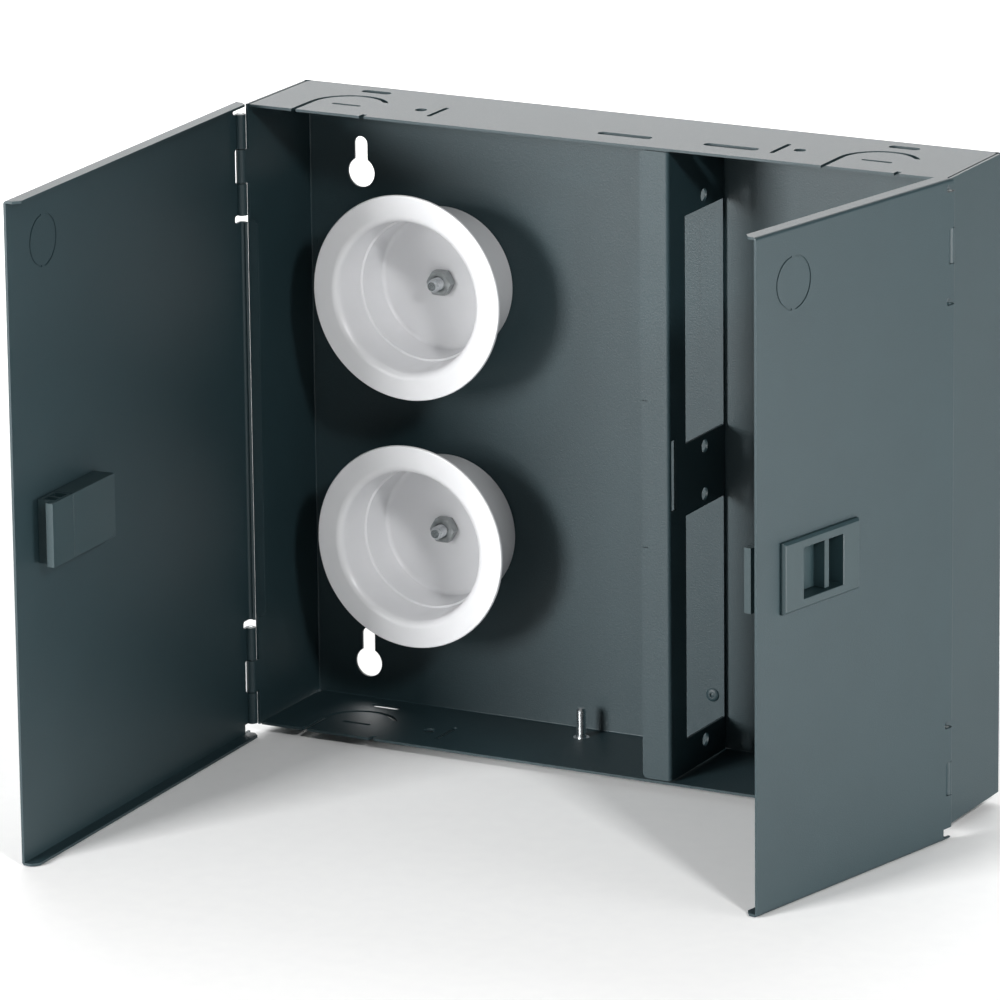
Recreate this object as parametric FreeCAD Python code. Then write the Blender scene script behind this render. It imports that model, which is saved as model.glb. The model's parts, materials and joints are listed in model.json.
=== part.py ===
import FreeCAD, Part
import math
import os

# Wall-mount fibre termination box, sizes in millimetres.
# Working frame: x from the left wall's outer face, y from the box's front edge into the wall,
# z from the underside. Export moves the origin to the centre of the back face, +Z up.

# enclosure
W = 355.6
D = 58.5
H = 298.5
T = 1.2
BEND = 1.8
SEAM = 0.8
LIP = 5.1
LIP_Z = (53.1, 243.5)
TAP = 1.6

# cable knockouts and tie slots in the top and bottom
KNOCK_X = (43.0, 312.0)
KNOCK_Y = 18.9
KNOCK_R = 17.8
SLIT = 2.4
TIE_SLOT = 4.8
CROSS_SLOT = 5.2
LONG_SLOT = 2.2
TIE_Y = 47.0
PRY_Y = 18.0
LONG_SLOT_X = (88.5, 262.5)
LONG_SLOT_Y = (12.5, 32.0)
HOLE_X = (79.3, 271.7)
HOLE_Y = 23.0
HOLE_R = 2.8
CROSS_SLOT_X = (187.6, 241.0)
CROSS_SLOT_Y = 16.0

# keyholes in the back
KEY_X = 28.4
KEY_Z = (18.4, 256.9)
KEY_R = 7.0
KEY_SLOT_R = 3.4
KEY_RISE = 13.8

# hinges
PIN_R = 1.2
PIN_PLAY = 0.05
ROLL_R = 2.45
CURL_TURN = 150.0
NOTCH = 3.4
AXIS_OUT = ROLL_R - T
AXIS_Y = -2.85
KNUCKLE_GAP = 0.4
LOWER_HINGE = (1.2, 16.4, 32.1, 48.0)
UPPER_HINGE = (246.4, 261.6, 277.8, 294.1)

# doors, measured from the hinge axis along the door and from its inner face into the box
DOOR_Y = AXIS_Y - ROLL_R
DOOR_Z = (-4.2, 300.1)
DOOR_FLANGE = 7.5
LEFT_LEN = 216.55
RIGHT_LEN = 140.55
LEFT_REST = -88.0
RIGHT_REST = 78.0
LOCK_Z = 275.6
LOCK_R = 12.2
SCORE = 0.45
LEFT_LOCK = 184.5
RIGHT_LOCK = 114.6

# slide latches, s measured from the bolt's tip back towards the hinge
LATCH_Z = 145.5
LEFT_TIP = 200.5
RIGHT_TIP = 134.6
HEAD = 19.0
HOUSING = 56.8
LATCH_DEEP = 10.3
LATCH_HALF = 14.7
BEZEL = (-64.6, -10.2)
BEZEL_HALF = 16.2
BEZEL_PROUD = 2.6
WINDOW = (-52.1, -24.1)
WINDOW_HALF = 11.5
HOOK_STEP = 4.5
HOOK_FROM = 6.7

# divider
DIV_X = (203.0, 217.5)
DIV_BACK_X = 205.5
DIV_GAP = 0.6
PORT_Y = (16.3, 54.9)
PORT_H = 106.3
PORT_Z = (70.9, 211.0)
PANEL_HOLE_PITCH = 117.5
PANEL_HOLE_R = 3.1
STRIKE_Z = (111.5, 181.0)
STRIKE_W = 3.4
WEB_SLOT_Y = (1.8, 6.5)
WEB_SLOT_Z = (129.3, 162.6)
RIVET_X = 211.0
RIVET_Z = (27.0, 271.5)
RIVET_R = 1.6

# spools
SPOOL_X = 72.7
SPOOL_Z = {"lower": 90.7, "upper": 209.9}
SPOOL_Y = 17.7
SPOOL_R = 48.6
STUD_R = 3.1
STUD_TIP_Y = 43.0
NUT_AF = 11.1
NUT_T = 5.5

# ground stud
GROUND = (148.0, 45.0)
GROUND_R = 2.4
GROUND_H = 14.0


def vec(x, y, z):
    return FreeCAD.Vector(x, y, z)


def box(x0, x1, y0, y1, z0, z1):
    return Part.makeBox(x1 - x0, y1 - y0, z1 - z0, vec(x0, y0, z0))


def rod_y(x, z, r, y0, y1):
    return Part.makeCylinder(r, y1 - y0, vec(x, y0, z), vec(0, 1, 0))


def rod_z(x, y, r, z0, z1):
    return Part.makeCylinder(r, z1 - z0, vec(x, y, z0), vec(0, 0, 1))


def fuse(shapes):
    return shapes[0].multiFuse(shapes[1:]).removeSplitter()


def cut(shape, tools):
    return shape.cut(Part.makeCompound(tools))


def mirrored(shape):
    return shape.mirror(vec(W / 2, 0, 0), vec(1, 0, 0))


def edges_on(shape, axis, value):
    """Edges that lie in the plane where the given axis has the given value."""
    low = {"x": "XMin", "y": "YMin", "z": "ZMin"}[axis]
    high = {"x": "XMax", "y": "YMax", "z": "ZMax"}[axis]
    found = []
    for edge in shape.Edges:
        bound = edge.BoundBox
        near = abs(getattr(bound, low) - value) < 1e-4 and abs(getattr(bound, high) - value) < 1e-4
        if near:
            found.append(edge)
    return found


def edges_along(shape, direction, points):
    """Straight edges along one direction that pass near the given points."""
    found = []
    for edge in shape.Edges:
        start = edge.Vertexes[0].Point
        end = edge.Vertexes[-1].Point
        line = end.sub(start)
        if line.Length < 1e-6 or abs(line.normalize().dot(direction)) < 0.999:
            continue
        for point in points:
            gap = point.sub(start)
            off = gap.sub(line * gap.dot(line))
            if off.Length < 0.05:
                found.append(edge)
    return found


def slot_x(x, y, length, width, z0, z1):
    """Round-ended slot along x, cut through in z."""
    half = length / 2 - width / 2
    ends = [rod_z(x + side * half, y, width / 2, z0, z1) for side in (-1, 1)]
    return fuse([box(x - half, x + half, y - width / 2, y + width / 2, z0, z1)] + ends)


def slot_y(x, y0, y1, width, z0, z1):
    """Round-ended slot along y, cut through in z."""
    r = width / 2
    ends = [rod_z(x, y0 + r, r, z0, z1), rod_z(x, y1 - r, r, z0, z1)]
    return fuse([box(x - r, x + r, y0 + r, y1 - r, z0, z1)] + ends)


def knockout(x, z0, z1):
    """Slit around a U-shaped cable knockout, held by a web at its right-hand shoulder."""
    outer = KNOCK_R + SLIT / 2
    inner = KNOCK_R - SLIT / 2
    ring = rod_z(x, KNOCK_Y, outer, z0, z1).cut(rod_z(x, KNOCK_Y, inner, z0, z1))
    half_ring = ring.common(box(x - 30, x + 30, KNOCK_Y, KNOCK_Y + 30, z0, z1))
    half_ring = half_ring.cut(box(x, x + 30, KNOCK_Y - 1, KNOCK_Y + 10, z0, z1))
    leg = box(x - outer, x - inner, -1, KNOCK_Y, z0, z1)
    notch = box(x + inner, x + outer, -1, 3.6, z0, z1)
    pry = slot_x(x, PRY_Y, 15, SLIT, z0, z1)
    tie = slot_x(x, TIE_Y, 15, TIE_SLOT, z0, z1)
    return [half_ring, leg, notch, pry, tie]


def plate_cuts(z0, z1, crosses):
    """Everything cut through the top or the bottom plate."""
    tools = []
    for x in KNOCK_X:
        tools += knockout(x, z0, z1)
    for x in LONG_SLOT_X:
        tools.append(slot_y(x, LONG_SLOT_Y[0], LONG_SLOT_Y[1], LONG_SLOT, z0, z1))
    for x in HOLE_X:
        tools.append(rod_z(x, HOLE_Y, HOLE_R, z0, z1))
    if crosses:
        for x in CROSS_SLOT_X:
            tools.append(slot_x(x, CROSS_SLOT_Y, 27, CROSS_SLOT, z0, z1))
    for x in (T, W - T - SEAM):
        tools.append(box(x, x + SEAM, -1, D - T - 1.0, z0, z1))
        tools.append(rod_z(x + SEAM / 2, D - T - 1.6, TAP, z0, z1))
    return tools


def keyhole(x, z):
    big = rod_y(x, z, KEY_R, D - T - 1, D + 1)
    end = rod_y(x, z + KEY_RISE, KEY_SLOT_R, D - T - 1, D + 1)
    neck = box(x - KEY_SLOT_R, x + KEY_SLOT_R, D - T - 1, D + 1, z, z + KEY_RISE)
    return fuse([big, end, neck])


def roll(z0, z1, bore):
    """Rolled hinge knuckle about the left hinge axis."""
    tube = rod_z(-AXIS_OUT, AXIS_Y, ROLL_R, z0, z1)
    return tube.cut(rod_z(-AXIS_OUT, AXIS_Y, bore, z0 - 1, z1 + 1))


def wall_front():
    """Left wall's front features: return lip and the two hinge knuckles of the enclosure."""
    lip = box(0, LIP, 0, T, LIP_Z[0], LIP_Z[1])
    corners = [vec(LIP, 0, z) for z in LIP_Z]
    lip = lip.makeFillet(3.0, edges_along(lip, vec(0, 1, 0), corners))
    shapes = [lip]
    for hinge in (LOWER_HINGE, UPPER_HINGE):
        z0 = hinge[1] + KNUCKLE_GAP / 2
        z1 = hinge[2] - KNUCKLE_GAP / 2
        tab = box(0, T, AXIS_Y, 1, z0, z1)
        tab = tab.cut(rod_z(-AXIS_OUT, AXIS_Y, ROLL_R - T / 2, z0 - 1, z1 + 1))
        shapes += [tab, roll(z0, z1, PIN_R + PIN_PLAY)]
    return shapes


def enclosure_body():
    outer = box(0, W, 0, D, 0, H)
    outer = outer.makeFillet(BEND, edges_on(outer, "y", D))
    inner = box(T, W - T, -1, D - T, T, H - T)
    inner = inner.makeFillet(BEND - T, edges_on(inner, "y", D - T))
    shell = outer.cut(inner)
    tools = plate_cuts(H - T - 0.5, H + 1, True)
    tools += plate_cuts(-1, T + 0.5, False)
    for x in (KEY_X, W - KEY_X):
        for z in KEY_Z:
            tools.append(keyhole(x, z))
    for z in SPOOL_Z.values():
        tools.append(rod_y(SPOOL_X, z, STUD_R + 1.6, D - T - 1, D + 1))
    for z in RIVET_Z:
        tools.append(rod_y(RIVET_X, z, RIVET_R, D - T - 1, D + 1))
    tools.append(rod_z(GROUND[0], GROUND[1], GROUND_R + 1.4, -1, T + 1))
    shell = cut(shell, tools)
    front = wall_front()
    return fuse([shell] + front + [mirrored(shape) for shape in front])


def divider():
    low = T + DIV_GAP
    high = H - T - DIV_GAP
    front = box(DIV_X[0], DIV_X[1], 0, T, low, high)
    corners = [vec(DIV_X[0], 0, low), vec(DIV_X[0], 0, high)]
    front = front.makeFillet(2.5, edges_along(front, vec(0, 1, 0), corners))
    web = box(DIV_X[1] - T, DIV_X[1], 0, D - T, low, high)
    back = box(DIV_BACK_X, DIV_X[1], D - 2 * T, D - T, low, high)
    shape = fuse([front, web, back])
    bends = [vec(DIV_X[1], 0, 0), vec(DIV_X[1], D - T, 0)]
    shape = shape.makeFillet(BEND, edges_along(shape, vec(0, 0, 1), bends))
    tools = [box(DIV_X[0] - 1, DIV_X[0] + STRIKE_W, -1, T + 1, STRIKE_Z[0], STRIKE_Z[1])]
    tools.append(box(DIV_X[1] - 5, DIV_X[1] + 1, WEB_SLOT_Y[0], WEB_SLOT_Y[1], WEB_SLOT_Z[0], WEB_SLOT_Z[1]))
    for z in PORT_Z:
        tools.append(box(DIV_X[1] - 5, DIV_X[1] + 1, PORT_Y[0], PORT_Y[1], z - PORT_H / 2, z + PORT_H / 2))
        for side in (-1, 1):
            y = (PORT_Y[0] + PORT_Y[1]) / 2
            hole = Part.makeCylinder(PANEL_HOLE_R, 10, vec(DIV_X[1] - 5, y, z + side * PANEL_HOLE_PITCH / 2),
                                     vec(1, 0, 0))
            tools.append(hole)
    for z in RIVET_Z:
        tools.append(rod_y(RIVET_X, z, RIVET_R, D - 2 * T - 1, D))
    shape = cut(shape, tools)
    strike = box(DIV_X[0], DIV_X[0] + STRIKE_W + 0.6, 0.9, 0.9 + T, STRIKE_Z[0] + 0.8, STRIKE_Z[1] - 0.8)
    return fuse([shape, strike])


def divider_rivets():
    """Blind rivets through the divider's back flange and the back wall."""
    shapes = []
    for z in RIVET_Z:
        head = rod_y(RIVET_X, z, 3.2, D - 2 * T - 1.0, D - 2 * T)
        shapes.append(head)
        shapes.append(rod_y(RIVET_X, z, RIVET_R, D - 2 * T, D - 0.2))
    return Part.makeCompound([fuse(shapes[0:2]), fuse(shapes[2:4])])


def hinge_edge_cuts(y0, y1):
    """Cuts along the door's hinge edge: body knuckle windows and relief notches."""
    tools = []
    for hinge in (LOWER_HINGE, UPPER_HINGE):
        window = box(-9, 2.2, y0, y1, hinge[1], hinge[2])
        corners = [vec(2.2, y0, hinge[1]), vec(2.2, y0, hinge[2])]
        tools.append(window.makeFillet(1.2, edges_along(window, vec(0, 1, 0), corners)))
        for z0, z1 in ((hinge[0] - NOTCH, hinge[0]), (hinge[3], hinge[3] + NOTCH)):
            notch = box(-9, NOTCH, y0, y1, z0, z1)
            corners = [vec(NOTCH, y0, z0), vec(NOTCH, y0, z1)]
            tools.append(notch.makeFillet(1.2, edges_along(notch, vec(0, 1, 0), corners)))
    return tools


def curled_edge():
    """Door edge between the hinges: the sheet starts to roll about the hinge axis, then stops."""
    z0 = LOWER_HINGE[3] + NOTCH
    z1 = UPPER_HINGE[0] - NOTCH
    tube = roll(z0, z1, ROLL_R - T)
    half = tube.common(box(-AXIS_OUT - 5, -AXIS_OUT, AXIS_Y - 5, AXIS_Y + 5, z0, z1))
    turn = math.radians(CURL_TURN)
    corners = [
        vec(-AXIS_OUT, AXIS_Y, z0),
        vec(-AXIS_OUT - 5 * math.sin(turn), AXIS_Y - 5 * math.cos(turn), z0),
        vec(-AXIS_OUT, AXIS_Y + 6, z0),
    ]
    wedge = Part.Face(Part.makePolygon(corners + corners[:1])).extrude(vec(0, 0, z1 - z0))
    return half.cut(wedge)


def lock_knockout(u, y0, y1):
    """Ring groove around a round knockout, broken by two bridges."""
    x = u - AXIS_OUT
    ring = rod_y(x, LOCK_Z, LOCK_R, y0, y1).cut(rod_y(x, LOCK_Z, LOCK_R - 0.9, y0, y1))
    return ring.cut(box(x - 1.2, x + 1.2, y0, y1, LOCK_Z - 20, LOCK_Z + 20))


def door(length, tip, lock):
    """Left-hand door, closed: sheet with a top and bottom flange and rolled knuckles."""
    free = length - AXIS_OUT
    y0 = DOOR_Y
    y1 = DOOR_Y + T
    sheet = box(-AXIS_OUT, free, y0, y1, DOOR_Z[0], DOOR_Z[1])
    reach = DOOR_Y + DOOR_FLANGE
    flanges = []
    for z0 in (DOOR_Z[0], DOOR_Z[1] - T):
        flange = box(0.6, free, y0, reach, z0, z0 + T)
        corners = [vec(0.6, reach, z0), vec(free, reach, z0)]
        flanges.append(flange.makeChamfer(3.0, edges_along(flange, vec(0, 0, 1), corners)))
    shape = fuse([sheet] + flanges)
    bends = [vec(0, y0, z) for z in DOOR_Z]
    shape = shape.makeFillet(1.6, edges_along(shape, vec(1, 0, 0), bends))
    tools = hinge_edge_cuts(y0 - 1, y1 + 0.01)
    tools.append(box(-9, -AXIS_OUT + 5, y0 - 1, y1 + 0.01, DOOR_Z[0] + 1.4, LOWER_HINGE[0]))
    x = tip - AXIS_OUT
    tools.append(box(x + WINDOW[0] - 2.5, x + WINDOW[1] + 2.5, y0 - 1, y1 + 1,
                     LATCH_Z - WINDOW_HALF - 1.5, LATCH_Z + WINDOW_HALF + 1.5))
    tools.append(lock_knockout(lock, y0 - 1, y0 + SCORE))
    tools.append(lock_knockout(lock, y1 - SCORE, y1 + 1))
    shape = cut(shape, tools)
    rolls = []
    for hinge in (LOWER_HINGE, UPPER_HINGE):
        for z0, z1 in ((hinge[0], hinge[1] - KNUCKLE_GAP / 2), (hinge[2] + KNUCKLE_GAP / 2, hinge[3])):
            rolls.append(roll(z0, z1, PIN_R))
            shape = shape.cut(rod_z(-AXIS_OUT, AXIS_Y, PIN_R, z0 - 0.01, z1 + 0.01))
    return fuse([shape, curled_edge()] + rolls)


def hinge_pin(hinge):
    return rod_z(-AXIS_OUT, AXIS_Y, PIN_R, hinge[0] - 0.3, hinge[3] + 0.3)


def latch_housing(tip):
    """Fixed part of a left-hand slide latch: bezel outside, box inside, window between."""
    x = tip - AXIS_OUT
    face = DOOR_Y + T
    bezel = box(x + BEZEL[0], x + BEZEL[1], DOOR_Y - BEZEL_PROUD, DOOR_Y,
                LATCH_Z - BEZEL_HALF, LATCH_Z + BEZEL_HALF)
    bezel = bezel.makeChamfer(1.3, edges_on(bezel, "y", DOOR_Y - BEZEL_PROUD))
    neck = box(x + WINDOW[0] - 2.2, x + WINDOW[1] + 2.2, DOOR_Y, face,
               LATCH_Z - WINDOW_HALF - 1.2, LATCH_Z + WINDOW_HALF + 1.2)
    inner = box(x - HOUSING, x - HEAD, face, face + LATCH_DEEP, LATCH_Z - LATCH_HALF, LATCH_Z + LATCH_HALF)
    well = box(x + WINDOW[0], x + WINDOW[1], DOOR_Y - 5, face + LATCH_DEEP - 1.4,
               LATCH_Z - WINDOW_HALF, LATCH_Z + WINDOW_HALF)
    track = box(x + WINDOW[1] - 1, x - HEAD + 1, face + 3.9, face + LATCH_DEEP - 1.4,
                LATCH_Z - WINDOW_HALF, LATCH_Z + WINDOW_HALF)
    return fuse([bezel, neck, inner]).cut(fuse([well, track]))


def latch_bolt(tip):
    """Sliding part of a left-hand latch, drawn back: hooked head, shank and thumb rib."""
    x = tip - AXIS_OUT
    face = DOOR_Y + T
    head = box(x - HEAD + 0.3, x, face + 0.3, face + LATCH_DEEP, LATCH_Z - LATCH_HALF, LATCH_Z + LATCH_HALF)
    head = head.cut(box(x - HOOK_STEP, x + 1, face - 1, face + HOOK_FROM, LATCH_Z - 20, LATCH_Z + 20))
    nose = vec(x, face + LATCH_DEEP, LATCH_Z)
    head = head.makeChamfer(1.2, edges_along(head, vec(0, 0, 1), [nose]))
    half = WINDOW_HALF - 0.4
    shank = box(x - 44.5, x - HEAD + 0.3, face + 4.3, face + LATCH_DEEP - 1.8, LATCH_Z - half, LATCH_Z + half)
    rib = box(x - 44.5, x - 41.4, face - 1.6, face + 4.3, LATCH_Z - half, LATCH_Z + half)
    return fuse([head, shank, rib])


def spool(z):
    """Storage spool: a cup with a rolled rim and a wide front flange."""
    rim = [
        (3.4, D - T), (34.6, D - T), (35.4, D - T - 0.8), (37.4, SPOOL_Y + 4.0),
        (38.4, SPOOL_Y + 2.2), (SPOOL_R - 0.6, SPOOL_Y + 2.2), (SPOOL_R, SPOOL_Y + 1.6),
        (SPOOL_R, SPOOL_Y + 0.6), (SPOOL_R - 0.6, SPOOL_Y), (38.6, SPOOL_Y),
        (36.6, SPOOL_Y + 0.9), (35.6, SPOOL_Y + 2.8), (34.2, SPOOL_Y + 19.0),
        (33.2, SPOOL_Y + 19.6), (32.3, D - T - 3.6), (31.4, D - T - 2.6), (3.4, D - T - 2.6),
    ]
    points = [vec(SPOOL_X + r, y, z) for r, y in rim]
    wire = Part.makePolygon(points + points[:1])
    return Part.Face(wire).revolve(vec(SPOOL_X, 0, z), vec(0, 1, 0), 360)


def spool_stud(z):
    """Clinch stud: head set in the back wall, shank standing into the box."""
    head = rod_y(SPOOL_X, z, STUD_R + 1.6, D - T, D - 0.1)
    return fuse([head, rod_y(SPOOL_X, z, STUD_R, STUD_TIP_Y, D - T)])


def spool_nut(z):
    y1 = D - T - 2.6
    across = NUT_AF / math.sqrt(3)
    points = []
    for step in range(7):
        angle = math.radians(60 * step + 30)
        points.append(vec(SPOOL_X + across * math.cos(angle), y1 - NUT_T, z + across * math.sin(angle)))
    prism = Part.Face(Part.makePolygon(points)).extrude(vec(0, NUT_T, 0))
    return prism.cut(rod_y(SPOOL_X, z, STUD_R, y1 - NUT_T - 1, y1 + 1))


def ground_stud():
    head = rod_z(GROUND[0], GROUND[1], GROUND_R + 1.4, 0.1, T)
    shank = rod_z(GROUND[0], GROUND[1], GROUND_R, T, T + GROUND_H)
    shank = shank.makeChamfer(0.5, edges_on(shank, "z", T + GROUND_H))
    return fuse([head, shank])


def swung(shape, side):
    """Turn a closed door piece to its rest pose, mirroring it first for the right-hand door."""
    if side == "left":
        shape = shape.copy()
        shape.rotate(vec(-AXIS_OUT, AXIS_Y, 0), vec(0, 0, 1), LEFT_REST)
        return shape
    shape = mirrored(shape)
    shape.rotate(vec(W + AXIS_OUT, AXIS_Y, 0), vec(0, 0, 1), RIGHT_REST)
    return shape


def export(name, shape):
    shape = shape.copy()
    shape.translate(vec(-W / 2, -D, -H / 2))
    shape.exportStep("parts/" + name + ".step")


def export_doors():
    sides = {"left": (LEFT_LEN, LEFT_TIP, LEFT_LOCK), "right": (RIGHT_LEN, RIGHT_TIP, RIGHT_LOCK)}
    for side, (length, tip, lock) in sides.items():
        export(side + "_door", swung(door(length, tip, lock), side))
        export(side + "_hinge_pin_lower", swung(hinge_pin(LOWER_HINGE), side))
        export(side + "_hinge_pin_upper", swung(hinge_pin(UPPER_HINGE), side))
        export(side + "_latch_housing", swung(latch_housing(tip), side))
        export(side + "_latch_bolt", swung(latch_bolt(tip), side))


def export_inside():
    export("enclosure_body", enclosure_body())
    export("divider", divider())
    export("divider_rivets", divider_rivets())
    export("ground_stud", ground_stud())
    for level, z in SPOOL_Z.items():
        export("spool_" + level, spool(z))
        export("spool_stud_" + level, spool_stud(z))
        export("spool_nut_" + level, spool_nut(z))


os.makedirs("parts", exist_ok=True)
export_inside()
export_doors()
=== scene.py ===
import json
import math

import bmesh
import bpy
from mathutils import Matrix, Vector


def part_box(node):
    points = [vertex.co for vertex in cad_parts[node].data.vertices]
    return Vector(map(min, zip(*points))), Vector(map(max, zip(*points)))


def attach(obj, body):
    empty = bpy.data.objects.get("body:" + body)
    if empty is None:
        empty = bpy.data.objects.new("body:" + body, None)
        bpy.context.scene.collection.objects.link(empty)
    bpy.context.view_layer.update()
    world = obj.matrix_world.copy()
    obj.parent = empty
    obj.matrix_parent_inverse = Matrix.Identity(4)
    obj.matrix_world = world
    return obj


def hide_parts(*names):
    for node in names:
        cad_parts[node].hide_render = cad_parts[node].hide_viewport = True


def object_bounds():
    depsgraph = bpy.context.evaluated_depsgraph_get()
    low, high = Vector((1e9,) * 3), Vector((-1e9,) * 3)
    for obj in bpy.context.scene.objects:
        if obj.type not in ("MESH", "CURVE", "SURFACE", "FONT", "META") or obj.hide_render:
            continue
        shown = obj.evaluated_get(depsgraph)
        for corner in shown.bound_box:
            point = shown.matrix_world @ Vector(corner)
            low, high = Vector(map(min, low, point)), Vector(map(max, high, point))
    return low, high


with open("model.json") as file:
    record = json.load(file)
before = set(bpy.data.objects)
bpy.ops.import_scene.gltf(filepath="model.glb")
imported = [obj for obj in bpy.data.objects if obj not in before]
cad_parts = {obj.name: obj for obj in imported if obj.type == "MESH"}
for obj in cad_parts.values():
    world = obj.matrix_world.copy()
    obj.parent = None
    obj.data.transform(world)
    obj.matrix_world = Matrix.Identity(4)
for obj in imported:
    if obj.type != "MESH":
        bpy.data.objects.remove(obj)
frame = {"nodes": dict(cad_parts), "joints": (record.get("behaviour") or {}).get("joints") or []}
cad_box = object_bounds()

# Wall-mount fibre termination box, looks only. Sizes are in millimetres until a piece is put in
# its place, which turns it to metres. X runs to the right, Y into the wall, Z up.
MM = 0.001

# sheet steel
EDGE_R = 0.4
SHEET_T = 1.2

# hinges and doors
ROLL_R = 2.45
PIN_R = 1.2
DOOR_INNER = SHEET_T - ROLL_R
DOOR_OUTER = -ROLL_R

# slide latches: u runs along the door from its hinge, v from the hinge axis into the box
LATCH_U = {"left": 200.5, "right": 134.6}
LATCH_Z = -3.75
HEAD = 19.0
HOUSING = 56.8
BLOCK_DEEP = 10.3
BLOCK_HALF = 14.7
BEZEL = (-64.6, -10.2)
BEZEL_HALF = 16.2
BEZEL_PROUD = 2.6
WINDOW = (-52.1, -24.1)
WINDOW_HALF = 11.5
HOOK_STEP = 4.5
HOOK_FROM = 6.7
RIB = (-44.5, -41.4)
NECK_SIDE = 2.2
NECK_END = 1.2
BEZEL_BEVEL = 1.2
WELL_FLOOR = 1.4
TRACK_FROM = 3.9
SHANK_FROM = 4.3
HOUSING_EDGE = 0.35
BOLT_EDGE = 0.4

# spools, studs and nuts
SPOOL_R = 48.6
STUD_R = 3.1
STUD_PITCH = 1.05
NUT_AF = 11.1
NUT_T = 5.5
GROUND_R = 2.4
GROUND_PITCH = 0.9

RIVET_R = 3.2
THREAD_DEEP = 0.42
NUT_FACE_R = NUT_AF / 2 * 0.96
NUT_OVER = 0.02

# how closely a face has to point one way to be picked, as a cosine
SAME_WAY = 0.99

# camera, light and stage
CAMERA_AIM = (-0.04744, -0.0585, -0.02421)
CAMERA_AZIMUTH = 28.072
CAMERA_ELEVATION = 15.585
CAMERA_ROLL = -0.632
CAMERA_AWAY = 3.4829
CAMERA_LENS = 273.6
STAGE_SIZE = 14
STAGE_BACK = 1.5
STAGE_DROP = 0.0005
WORLD_STRENGTH = 0.2

# name, aim, azimuth, elevation, distance, size and power of each lamp
LAMPS = [
    ("side_key", (0.15, -0.08, -0.08), 84, -2, 1.1, (0.6, 0.3), 19),
    ("front_fill", (0, -0.05, 0), -22, 12, 2.4, (0.7, 0.7), 80),
    ("high_spot", (0, -0.05, 0), 50, 30, 2.6, (0.25, 0.25), 30),
    ("back_sky", (0, 0, 0.15), 205, 18, 1.6, (2.4, 0.6), 13),
    ("floor_wash", (-0.9, 1.7, -0.15), 0, 88, 1.5, (2.2, 1.6), 44),
]


# ---------------------------------------------------------------- modelling helpers


def only(piece):
    """Makes one piece the selected and active one, in object mode."""
    if bpy.context.object and bpy.context.object.mode != "OBJECT":
        bpy.ops.object.mode_set(mode="OBJECT")
    bpy.ops.object.select_all(action="DESELECT")
    piece.select_set(True)
    bpy.context.view_layer.objects.active = piece


def start(name):
    """Names the primitive that was just added and opens it for editing."""
    piece = bpy.context.object
    piece.name = name
    piece.data.name = name
    bpy.ops.object.mode_set(mode="EDIT")
    return piece


def done():
    bpy.ops.object.mode_set(mode="OBJECT")


def pick(piece, kind, test):
    """Selects the faces or edges of a piece in edit mode that pass a test on the element."""
    bpy.ops.mesh.select_mode(type=kind)
    bpy.ops.mesh.select_all(action="DESELECT")
    shape = bmesh.from_edit_mesh(piece.data)
    for element in (shape.faces if kind == "FACE" else shape.edges):
        if test(element):
            element.select_set(True)
    bmesh.update_edit_mesh(piece.data)


def facing(normal):
    way = Vector(normal)
    return lambda face: face.normal.dot(way) > SAME_WAY


def block(name, low, high):
    """Box between two corners, left open for editing."""
    middle = [(a + b) / 2 for a, b in zip(low, high)]
    bpy.ops.mesh.primitive_cube_add(size=1, location=middle)
    piece = bpy.context.object
    piece.scale = [b - a for a, b in zip(low, high)]
    only(piece)
    bpy.ops.object.transform_apply(location=True, rotation=True, scale=True)
    return start(name)


def apply(piece, name, kind, **settings):
    """Adds a modifier and applies it."""
    only(piece)
    modifier = piece.modifiers.new(name, kind)
    for key, value in settings.items():
        setattr(modifier, key, value)
    bpy.ops.object.modifier_apply(modifier=name)


def cut_out(piece, tool, operation="DIFFERENCE"):
    """Cuts a tool piece out of another, or keeps what they share, and removes the tool."""
    apply(piece, "cut", "BOOLEAN", operation=operation, object=tool, solver="EXACT")
    bpy.data.objects.remove(tool)


def round_edges(piece, width, segments=3, angle=35.0, edge_material=0):
    apply(piece, "edges", "BEVEL", width=width, segments=segments, limit_method="ANGLE",
          angle_limit=math.radians(angle), harden_normals=False, material=edge_material,
          use_clamp_overlap=True, miter_outer="MITER_ARC")


def even_shading(piece, angle=38.0):
    """Smooth shading whose large faces stay flat and whose sharp edges stay crisp."""
    only(piece)
    bpy.ops.object.shade_smooth_by_angle(angle=math.radians(angle))
    apply(piece, "shading", "WEIGHTED_NORMAL", keep_sharp=True, weight=100)


def tidy_shell(piece, merge=1e-4):
    """Merges doubled points and turns all faces outwards."""
    only(piece)
    bpy.ops.object.mode_set(mode="EDIT")
    bpy.ops.mesh.select_all(action="SELECT")
    bpy.ops.mesh.remove_doubles(threshold=merge)
    bpy.ops.mesh.normals_make_consistent(inside=False)
    bpy.ops.object.mode_set(mode="OBJECT")


def settle(piece, place, smooth=32.0):
    """Puts a piece modelled in millimetres in its place, in metres, and shades it."""
    only(piece)
    piece.matrix_world = place @ Matrix.Scale(MM, 4)
    bpy.ops.object.transform_apply(location=True, rotation=True, scale=True)
    tidy_shell(piece, merge=1e-7)
    even_shading(piece, smooth)


def dress(piece, body, slot, *materials):
    """Gives a finished piece its materials and its body; the slot argument is not used."""
    piece.data.materials.clear()
    for material in materials:
        piece.data.materials.append(material)
    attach(piece, body)


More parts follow.
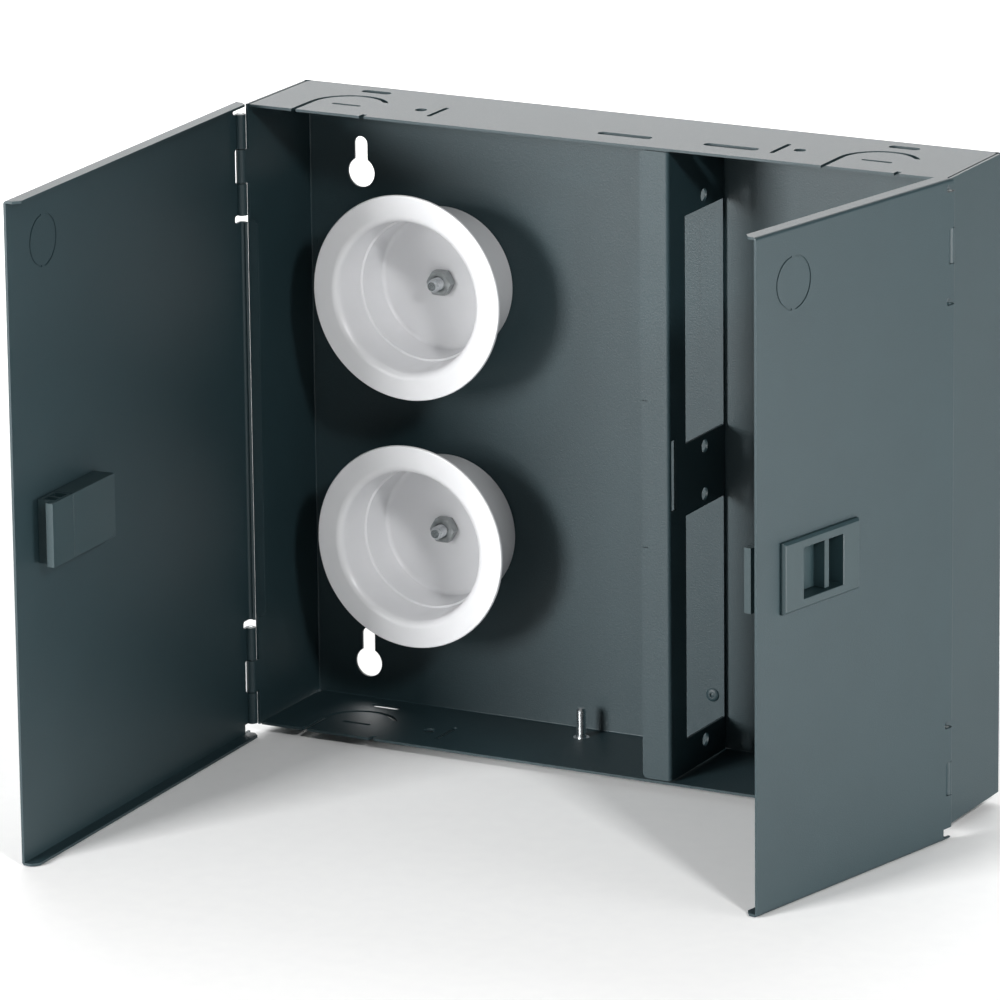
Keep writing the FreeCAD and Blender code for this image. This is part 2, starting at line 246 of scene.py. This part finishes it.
def turned(name, rings, steps, closed):
    """Turned shape about Z: a ring of points drawn out through (radius, height) pairs.

    A closed shape joins its last ring to its first, and any other gets a cap on each end."""
    radius, height = rings[0]
    bpy.ops.object.select_all(action="DESELECT")
    bpy.ops.mesh.primitive_circle_add(vertices=steps, radius=radius, location=(0, 0, height),
                                      fill_type="NOTHING" if closed else "NGON")
    only(bpy.context.object)
    bpy.ops.object.transform_apply(location=True, rotation=True, scale=True)
    piece = start(name)
    bpy.ops.mesh.select_mode(type="EDGE")
    bpy.ops.mesh.select_all(action="SELECT")
    around = rings[1:] + rings[:1] if closed else rings[1:]
    for next_radius, next_height in around:
        rise = {"value": (0, 0, next_height - height)}
        if closed:
            bpy.ops.mesh.extrude_edges_move(TRANSFORM_OT_translate=rise)
        else:
            bpy.ops.mesh.extrude_region_move(TRANSFORM_OT_translate=rise)
        grow = next_radius / radius
        bpy.ops.transform.resize(value=(grow, grow, 1))
        radius, height = next_radius, next_height
    done()
    tidy_shell(piece)
    return piece


def thread(piece, radius, pitch, low, high):
    """Winds a thread ridge on a rod about Z and joins it to the rod."""
    depth = THREAD_DEEP * pitch
    bpy.ops.object.select_all(action="DESELECT")
    bpy.ops.mesh.primitive_circle_add(vertices=4, radius=depth, location=(radius - depth, 0, low),
                                      rotation=(math.pi / 2, 0, 0))
    ridge = bpy.context.object
    only(ridge)
    bpy.ops.object.transform_apply(location=True, rotation=True, scale=True)
    turns = int((high - low) / pitch)
    apply(ridge, "wind", "SCREW", axis="Z", screw_offset=pitch, iterations=turns, steps=24,
          render_steps=24, use_merge_vertices=False)
    bpy.ops.object.mode_set(mode="EDIT")
    pick(ridge, "EDGE", lambda edge: len(edge.link_faces) == 1)
    bpy.ops.mesh.edge_face_add()
    bpy.ops.object.mode_set(mode="OBJECT")
    tidy_shell(ridge)
    only(piece)
    ridge.select_set(True)
    bpy.ops.object.join()


# ---------------------------------------------------------------- materials


def linear(hex_colour):
    """Linear RGBA from an sRGB hex colour."""
    values = [int(hex_colour[i:i + 2], 16) / 255 for i in (1, 3, 5)]
    return [v / 12.92 if v <= 0.04045 else ((v + 0.055) / 1.055) ** 2.4 for v in values] + [1.0]


def add(tree, kind, settings=None, **links):
    """Adds a node, sets its properties and inputs, and links inputs named in links."""
    node = tree.nodes.new(kind)
    for key, value in (settings or {}).items():
        if isinstance(key, int) or key in node.inputs:
            node.inputs[key].default_value = value
        else:
            setattr(node, key, value)
    for key, socket in links.items():
        tree.links.new(socket, node.inputs[key.replace("_", " ")])
    return node


def finish_named(name):
    """New material with its shader, and its object coordinates."""
    material = bpy.data.materials.new(name)
    material.use_nodes = True
    tree = material.node_tree
    shader = tree.nodes["Principled BSDF"]
    place = add(tree, "ShaderNodeTexCoord").outputs["Object"]
    return material, tree, shader, place


def per_mm(size):
    """Texture scale whose pattern repeats every so many millimetres, on coordinates in metres."""
    return 1 / (size * MM)


def powder_coat(name, low, high, roughness, grain_depth):
    """Polyester powder coat on folded steel: sprayed dry and baked, it flows into a fine pebbled
    skin, so it looks matt and dark face on and silvery at a low angle."""
    material, tree, shader, place = finish_named(name)
    # the real grain is about 0.3 mm; it is drawn at 0.7 mm, which is as fine as shows
    grain = add(tree, "ShaderNodeTexNoise", {"Scale": per_mm(0.7), "Detail": 3.0, "Roughness": 0.6},
                Vector=place)
    flow = add(tree, "ShaderNodeTexNoise", {"Scale": per_mm(28), "Detail": 2.0}, Vector=place)
    share = add(tree, "ShaderNodeMath", {"operation": "MULTIPLY_ADD", 1: 0.25, 2: 0.0})
    tree.links.new(flow.outputs["Fac"], share.inputs[0])
    both = add(tree, "ShaderNodeMath", {"operation": "MULTIPLY_ADD", 1: 0.75})
    tree.links.new(grain.outputs["Fac"], both.inputs[0])
    tree.links.new(share.outputs[0], both.inputs[2])
    tint = add(tree, "ShaderNodeMix", {"data_type": "RGBA", "A": linear(low), "B": linear(high)},
               Factor=both.outputs[0])
    tree.links.new(tint.outputs["Result"], shader.inputs["Base Color"])
    rough = add(tree, "ShaderNodeMapRange", {"To Min": roughness - 0.06, "To Max": roughness + 0.06},
                Value=grain.outputs["Fac"])
    tree.links.new(rough.outputs["Result"], shader.inputs["Roughness"])
    bump = add(tree, "ShaderNodeBump", {"Strength": 1.0, "Distance": grain_depth * MM},
               Height=grain.outputs["Fac"])
    tree.links.new(bump.outputs["Normal"], shader.inputs["Normal"])
    shader.inputs["IOR"].default_value = 1.5
    return material


def moulded_abs(name, low, high):
    """ABS moulded in a spark-eroded tool: an even satin skin, a little smoother than the paint,
    whose rounded corners catch thin clean highlights."""
    material, tree, shader, place = finish_named(name)
    spark = add(tree, "ShaderNodeTexNoise", {"Scale": per_mm(0.5), "Detail": 2.0}, Vector=place)
    tint = add(tree, "ShaderNodeMix", {"data_type": "RGBA", "A": linear(low), "B": linear(high)},
               Factor=spark.outputs["Fac"])
    tree.links.new(tint.outputs["Result"], shader.inputs["Base Color"])
    rough = add(tree, "ShaderNodeMapRange", {"To Min": 0.34, "To Max": 0.46},
                Value=spark.outputs["Fac"])
    tree.links.new(rough.outputs["Result"], shader.inputs["Roughness"])
    bump = add(tree, "ShaderNodeBump", {"Strength": 0.5, "Distance": 0.03 * MM},
               Height=spark.outputs["Fac"])
    tree.links.new(bump.outputs["Normal"], shader.inputs["Normal"])
    shader.inputs["IOR"].default_value = 1.52
    return material


def moulded_styrene(name):
    """High-impact polystyrene moulded in a polished tool: pale grey, faintly see-through at thin
    edges, with a soft gloss that draws streaks of light down the cup's wall."""
    material, tree, shader, place = finish_named(name)
    cloud = add(tree, "ShaderNodeTexNoise", {"Scale": per_mm(22), "Detail": 3.0}, Vector=place)
    tint = add(tree, "ShaderNodeMix", {"data_type": "RGBA", "A": linear("#d6d7d9"), "B": linear("#e0e0e2")},
               Factor=cloud.outputs["Fac"])
    tree.links.new(tint.outputs["Result"], shader.inputs["Base Color"])
    skin = add(tree, "ShaderNodeTexNoise", {"Scale": per_mm(1.6), "Detail": 2.0}, Vector=place)
    rough = add(tree, "ShaderNodeMapRange", {"To Min": 0.26, "To Max": 0.36},
                Value=skin.outputs["Fac"])
    tree.links.new(rough.outputs["Result"], shader.inputs["Roughness"])
    bump = add(tree, "ShaderNodeBump", {"Strength": 0.25, "Distance": 0.02 * MM},
               Height=skin.outputs["Fac"])
    tree.links.new(bump.outputs["Normal"], shader.inputs["Normal"])
    shader.inputs["IOR"].default_value = 1.59
    shader.inputs["Subsurface Weight"].default_value = 0.12
    shader.inputs["Subsurface Radius"].default_value = (0.003, 0.003, 0.003)
    shader.inputs["Subsurface Scale"].default_value = 1.0
    return material


def zinc_plate(name, low, high, roughness):
    """Bright zinc plate over cold-formed steel: silvery with a faint blue cast, brightest on the
    thread crests, and slightly cloudy where the passivation varies."""
    material, tree, shader, place = finish_named(name)
    cloud = add(tree, "ShaderNodeTexNoise", {"Scale": per_mm(2.2), "Detail": 4.0}, Vector=place)
    tint = add(tree, "ShaderNodeMix", {"data_type": "RGBA", "A": linear(low), "B": linear(high)},
               Factor=cloud.outputs["Fac"])
    tree.links.new(tint.outputs["Result"], shader.inputs["Base Color"])
    rough = add(tree, "ShaderNodeMapRange", {"To Min": roughness - 0.05, "To Max": roughness + 0.09},
                Value=cloud.outputs["Fac"])
    tree.links.new(rough.outputs["Result"], shader.inputs["Roughness"])
    bump = add(tree, "ShaderNodeBump", {"Strength": 0.3, "Distance": 0.02 * MM},
               Height=cloud.outputs["Fac"])
    tree.links.new(bump.outputs["Normal"], shader.inputs["Normal"])
    shader.inputs["Metallic"].default_value = 1.0
    return material


def stage_paper():
    """Matt white studio paper: faint fibre mottling and no gloss."""
    material, tree, shader, place = finish_named("studio_paper")
    fibre = add(tree, "ShaderNodeTexNoise", {"Scale": per_mm(9), "Detail": 4.0}, Vector=place)
    tint = add(tree, "ShaderNodeMix", {"data_type": "RGBA", "A": linear("#f6f6f6"), "B": linear("#fbfbfa")},
               Factor=fibre.outputs["Fac"])
    tree.links.new(tint.outputs["Result"], shader.inputs["Base Color"])
    shader.inputs["Roughness"].default_value = 0.9
    return material


# ---------------------------------------------------------------- sheet steel


def softened(node, name, body):
    """Copy of a sheet steel node with its doubled points merged and its edges rounded by the coat
    of paint."""
    source = frame["nodes"][node]
    piece = bpy.data.objects.new(name, source.data.copy())
    bpy.context.scene.collection.objects.link(piece)
    only(piece)
    bpy.ops.object.mode_set(mode="EDIT")
    bpy.ops.mesh.select_all(action="SELECT")
    bpy.ops.mesh.customdata_custom_splitnormals_clear()
    bpy.ops.mesh.remove_doubles(threshold=2e-6)
    bpy.ops.object.mode_set(mode="OBJECT")
    # the rounded edges take the second material, the paler coat that paints a highlight along every edge
    round_edges(piece, EDGE_R * MM, segments=2, angle=40.0, edge_material=1)
    even_shading(piece)
    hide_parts(node)
    dress(piece, body, "powder_coat", coat, coat_painted_highlight)


# ---------------------------------------------------------------- places


def joint(name):
    return next(j for j in frame["joints"] if j["name"] == name)


def door_place(side):
    """Turns door sizes (u along the door, v into the box, height) to the door's rest place."""
    hinge = joint(side + "_door_hinge")
    swing = math.radians(-hinge["range_deg"][0])
    spin = Matrix.Rotation(swing, 4, Vector(hinge["axis"]))
    hand = Matrix.Diagonal((1 if side == "left" else -1, 1, 1, 1))
    return Matrix.Translation(hinge["pos_m"]) @ spin @ hand


def on_back_wall(node):
    """Place of a piece turned about Z, so that it stands on the back wall and points to the front."""
    low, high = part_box(node)
    middle = (low + high) / 2
    return Matrix.Translation((middle.x, high.y, middle.z)) @ Matrix.Rotation(math.pi / 2, 4, "X")


# ---------------------------------------------------------------- pieces


def spool(level):
    """Storage spool, turned about its axis: foot, tapered wall with a step, wide rolled rim."""
    node = "spool_" + level
    low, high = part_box(node)
    deep = (high.y - low.y) / MM
    rings = [
        (3.4, 0.0), (34.0, 0.0), (34.9, 0.3), (35.4, 1.0), (36.6, 20.6), (37.3, 34.4),
        (37.7, 36.2), (38.8, 37.4), (SPOOL_R - 0.9, deep - 2.2), (SPOOL_R - 0.2, deep - 1.9),
        (SPOOL_R, deep - 1.3), (SPOOL_R, deep - 0.7), (SPOOL_R - 0.3, deep - 0.2),
        (SPOOL_R - 0.9, deep), (39.4, deep), (37.9, deep - 0.25), (36.8, deep - 0.9),
        (36.0, deep - 2.0), (35.6, deep - 3.4), (34.3, 20.8), (34.0, 20.4), (33.3, 20.1),
        (33.1, 19.6), (32.4, 4.2), (32.0, 3.2), (31.0, 2.65), (30.0, 2.6), (3.4, 2.6),
    ]
    cup = turned("spool_cup_" + level, rings, 128, closed=True)
    settle(cup, on_back_wall(node), smooth=40)
    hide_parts(node)
    dress(cup, "enclosure", "spool_plastic", styrene)


def stud(name, node, radius, pitch, place):
    """Clinch stud: head set flush in the sheet, chamfered tip and a rolled thread."""
    low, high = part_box(node)
    size = (high - low) / MM
    length = max(size)
    head = min(size) / 2
    core = radius - THREAD_DEEP * pitch
    rings = [(head - 0.3, 0.0), (head, 0.3), (head, SHEET_T - 0.1), (radius, SHEET_T - 0.1),
             (radius, SHEET_T + 0.9), (core, SHEET_T + 1.3), (core, length - 0.7),
             (core - 0.55, length)]
    rod = turned(name, rings, 48, closed=False)
    thread(rod, radius, pitch, SHEET_T + 1.2, length - 0.9)
    settle(rod, place, smooth=35)
    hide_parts(node)
    dress(rod, "enclosure", "zinc_steel", zinc_bright)


def hex_nut(level):
    """Hex nut with its corners turned off at 30 degrees on both faces."""
    node = "spool_nut_" + level
    low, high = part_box(node)
    corner = NUT_AF / math.sqrt(3)
    bpy.ops.object.select_all(action="DESELECT")
    bpy.ops.mesh.primitive_cylinder_add(vertices=6, radius=corner, depth=NUT_T,
                                        location=(0, 0, NUT_T / 2), rotation=(0, 0, math.pi / 6))
    nut = bpy.context.object
    only(nut)
    bpy.ops.object.transform_apply(location=True, rotation=True, scale=True)
    nut.name = nut.data.name = "hex_nut_" + level
    wide = corner + NUT_OVER
    drop = (wide - NUT_FACE_R) * math.tan(math.radians(30))
    barrel = turned("barrel", [(NUT_FACE_R, 0.0), (wide, drop), (wide, NUT_T - drop),
                               (NUT_FACE_R, NUT_T)], 96, closed=False)
    cut_out(nut, barrel, "INTERSECT")
    bore = turned("bore", [(STUD_R + 0.7, -0.1), (STUD_R, 0.6), (STUD_R, NUT_T - 0.6),
                           (STUD_R + 0.7, NUT_T + 0.1)], 48, closed=False)
    cut_out(nut, bore)
    place = Matrix.Translation(((low.x + high.x) / 2, high.y, (low.z + high.z) / 2))
    settle(nut, place @ Matrix.Rotation(math.pi / 2, 4, "X"), smooth=20)
    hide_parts(node)
    dress(nut, "enclosure", "zinc_steel", zinc_dull)


def rivets():
    """Two blind rivets: domed head with the snapped pin sunk in its middle."""
    low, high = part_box("divider_rivets")
    heads = []
    for height in (low.z + RIVET_R * MM, high.z - RIVET_R * MM):
        long = (high.y - low.y) / MM
        rings = [(1.5, 0.0), (1.6, 0.2), (1.6, long - 1.0), (RIVET_R, long - 1.0),
                 (RIVET_R, long - 0.75), (2.8, long - 0.35), (2.0, long - 0.08), (1.3, long),
                 (1.15, long - 0.05), (1.1, long - 0.6), (0.95, long - 0.7), (0.3, long - 0.55)]
        head = turned("rivet", rings, 40, closed=False)
        place = Matrix.Translation(((low.x + high.x) / 2, high.y, height))
        settle(head, place @ Matrix.Rotation(math.pi / 2, 4, "X"), smooth=40)
        heads.append(head)
    only(heads[0])
    heads[1].select_set(True)
    bpy.ops.object.join()
    heads[0].name = heads[0].data.name = "blind_rivets"
    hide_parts("divider_rivets")
    dress(heads[0], "enclosure", "zinc_steel", coat, coat_painted_highlight)


def hinge_pin(side, level):
    """Hinge pin with its ends peened to a shallow dome."""
    node = side + "_hinge_pin_" + level
    low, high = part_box(node)
    long = (high.z - low.z) / MM
    ends = [(0.45, 0.0), (0.85, 0.08), (1.1, 0.22), (PIN_R, 0.4)]
    rings = ends + [(PIN_R, long / 2)] + [(r, long - h) for r, h in reversed(ends)]
    pin = turned("hinge_pin_" + side + "_" + level, rings, 32, closed=False)
    middle = (low + high) / 2
    settle(pin, Matrix.Translation((middle.x, middle.y, low.z)), smooth=40)
    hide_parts(node)
    dress(pin, side + "_door", "zinc_steel", zinc_dull)


def latch_housing(side):
    """Fixed half of the slide latch: bevelled bezel outside, box inside, finger well between."""
    tip = LATCH_U[side]
    z0, z1 = LATCH_Z - BLOCK_HALF, LATCH_Z + BLOCK_HALF
    housing = block("latch_housing_" + side, (tip - HOUSING, DOOR_INNER, z0),
                    (tip - HEAD, DOOR_INNER + BLOCK_DEEP, z1))
    done()
    neck = block("neck", (tip + WINDOW[0] - NECK_SIDE, DOOR_OUTER - 0.2, LATCH_Z - WINDOW_HALF - NECK_END),
                 (tip + WINDOW[1] + NECK_SIDE, DOOR_INNER + 0.5, LATCH_Z + WINDOW_HALF + NECK_END))
    done()
    cut_out(housing, neck, "UNION")
    bezel = block("bezel", (tip + BEZEL[0], DOOR_OUTER - BEZEL_PROUD, LATCH_Z - BEZEL_HALF),
                  (tip + BEZEL[1], DOOR_OUTER, LATCH_Z + BEZEL_HALF))
    pick(bezel, "FACE", facing((0, -1, 0)))
    bpy.ops.mesh.bevel(offset=BEZEL_BEVEL, offset_type="OFFSET", segments=1, affect="EDGES")
    done()
    cut_out(housing, bezel, "UNION")
    well = block("well", (tip + WINDOW[0], DOOR_OUTER - 5, LATCH_Z - WINDOW_HALF),
                 (tip + WINDOW[1], DOOR_INNER + BLOCK_DEEP - WELL_FLOOR, LATCH_Z + WINDOW_HALF))
    done()
    cut_out(housing, well)
    track = block("track", (tip + WINDOW[1] - 1, DOOR_INNER + TRACK_FROM, LATCH_Z - WINDOW_HALF),
                  (tip - HEAD + 1, DOOR_INNER + BLOCK_DEEP - WELL_FLOOR, LATCH_Z + WINDOW_HALF))
    done()
    cut_out(housing, track)
    round_edges(housing, HOUSING_EDGE, segments=3, angle=30)
    settle(housing, door_place(side), smooth=40)
    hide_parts(side + "_latch_housing")
    dress(housing, side + "_door", "latch_plastic", abs_grey)


def latch_bolt(side):
    """Sliding half of the latch: hooked head with cored pockets, shank and thumb rib."""
    tip = LATCH_U[side]
    z0, z1 = LATCH_Z - BLOCK_HALF, LATCH_Z + BLOCK_HALF
    bolt = block("latch_bolt_" + side, (tip - HEAD + 0.3, DOOR_INNER + 0.3, z0),
                 (tip, DOOR_INNER + BLOCK_DEEP, z1))
    done()
    step = block("step", (tip - HOOK_STEP, DOOR_INNER - 1, LATCH_Z - 20),
                 (tip + 1, DOOR_INNER + HOOK_FROM, LATCH_Z + 20))
    done()
    cut_out(bolt, step)
    half = WINDOW_HALF - 0.4
    shank = block("shank", (tip + RIB[0], DOOR_INNER + SHANK_FROM, LATCH_Z - half),
                  (tip - HEAD + 0.4, DOOR_INNER + BLOCK_DEEP - 1.8, LATCH_Z + half))
    done()
    cut_out(bolt, shank, "UNION")
    rib = block("rib", (tip + RIB[0], DOOR_INNER - 1.6, LATCH_Z - half),
                (tip + RIB[1], DOOR_INNER + 4.4, LATCH_Z + half))
    done()
    cut_out(bolt, rib, "UNION")
    for end in (-1, 1):
        for low_u, high_u in ((-HEAD + 1.8, -HEAD + 7.6), (-HEAD + 8.8, -HOOK_STEP - 1.4)):
            face = LATCH_Z + end * BLOCK_HALF
            pocket = block("pocket", (tip + low_u, DOOR_INNER + 2.0, min(face, face - end * 6)),
                           (tip + high_u, DOOR_INNER + BLOCK_DEEP - 2.0, max(face, face - end * 6)))
            bpy.ops.mesh.select_all(action="SELECT")
            bpy.ops.transform.translate(value=(0, 0, end * 0.5))
            done()
            cut_out(bolt, pocket)
    round_edges(bolt, BOLT_EDGE, segments=3, angle=30)
    settle(bolt, door_place(side), smooth=40)
    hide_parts(side + "_latch_bolt")
    dress(bolt, side + "_bolt", "latch_plastic", abs_grey)


# ---------------------------------------------------------------- stage, light and camera


def stage():
    floor_z = cad_box[0][2] - STAGE_DROP
    bpy.ops.object.select_all(action="DESELECT")
    bpy.ops.mesh.primitive_plane_add(size=STAGE_SIZE, location=(0, STAGE_BACK, floor_z))
    floor = start("studio_floor")
    bpy.ops.mesh.subdivide(number_cuts=3)
    done()
    only(floor)
    bpy.ops.object.transform_apply(location=True, rotation=True, scale=True)
    floor.data.materials.append(stage_paper())


def soft_box(name, aim, azimuth, elevation, away, size, power):
    """Area light that looks at a point, placed by its angles about that point."""
    lamp = bpy.data.lights.new(name, "AREA")
    lamp.shape = "RECTANGLE"
    lamp.size, lamp.size_y = size
    lamp.energy = power
    holder = bpy.data.objects.new(name, lamp)
    bpy.context.scene.collection.objects.link(holder)
    way = direction(azimuth, elevation)
    holder.location = Vector(aim) + way * away
    holder.rotation_euler = way.to_track_quat("Z", "Y").to_euler()


def direction(azimuth, elevation):
    """Unit vector from the object towards a viewpoint; azimuth 0 is straight in front."""
    a, e = math.radians(azimuth), math.radians(elevation)
    return Vector((math.sin(a) * math.cos(e), -math.cos(a) * math.cos(e), math.sin(e)))


def lights():
    for lamp in LAMPS:
        soft_box(*lamp)
    world = bpy.data.worlds.new("studio")
    bpy.context.scene.world = world
    world.use_nodes = True
    world.node_tree.nodes["Background"].inputs["Color"].default_value = linear("#ffffff")
    world.node_tree.nodes["Background"].inputs["Strength"].default_value = WORLD_STRENGTH


def camera():
    lens = bpy.data.cameras.new("view")
    lens.lens = CAMERA_LENS
    lens.sensor_width = 36
    lens.clip_end = 50
    holder = bpy.data.objects.new("view", lens)
    bpy.context.scene.collection.objects.link(holder)
    way = direction(CAMERA_AZIMUTH, CAMERA_ELEVATION)
    turn = way.to_track_quat("Z", "Y").to_matrix() @ Matrix.Rotation(math.radians(CAMERA_ROLL), 3, "Z")
    holder.location = Vector(CAMERA_AIM) + way * CAMERA_AWAY
    holder.rotation_euler = turn.to_euler()
    bpy.context.scene.camera = holder


# ---------------------------------------------------------------- build

coat = powder_coat("powder_coat_steel", "#14262b", "#253a3f", 0.5, 0.09)
# painted highlight: the rounded edges get a paler coat so that they read as thin lit lines; its lower
# roughness makes them glossier as well
coat_painted_highlight = powder_coat("powder_coat_edge", "#4a595e", "#66757a", 0.3, 0.02)
abs_grey = moulded_abs("abs_slate_grey", "#1b2d31", "#263a3e")
styrene = moulded_styrene("polystyrene_pale_grey")
zinc_bright = zinc_plate("zinc_plate_bright", "#c9ced1", "#e4e7e8", 0.22)
zinc_dull = zinc_plate("zinc_plate_dull", "#8d9293", "#b4b8b8", 0.34)

camera()
stage()
lights()

softened("enclosure_body", "enclosure_shell", "enclosure")
softened("divider", "divider_channel", "enclosure")
for side in ("left", "right"):
    softened(side + "_door", "door_sheet_" + side, side + "_door")
    latch_housing(side)
    latch_bolt(side)
    for level in ("lower", "upper"):
        hinge_pin(side, level)

for level in ("lower", "upper"):
    spool(level)
    node = "spool_stud_" + level
    stud("threaded_stud_" + level, node, STUD_R, STUD_PITCH, on_back_wall(node))
    hex_nut(level)

low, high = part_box("ground_stud")
stud("threaded_ground_stud", "ground_stud", GROUND_R, GROUND_PITCH,
     Matrix.Translation(((low.x + high.x) / 2, (low.y + high.y) / 2, low.z)))
rivets()

bpy.context.scene.view_settings.view_transform = "Standard"
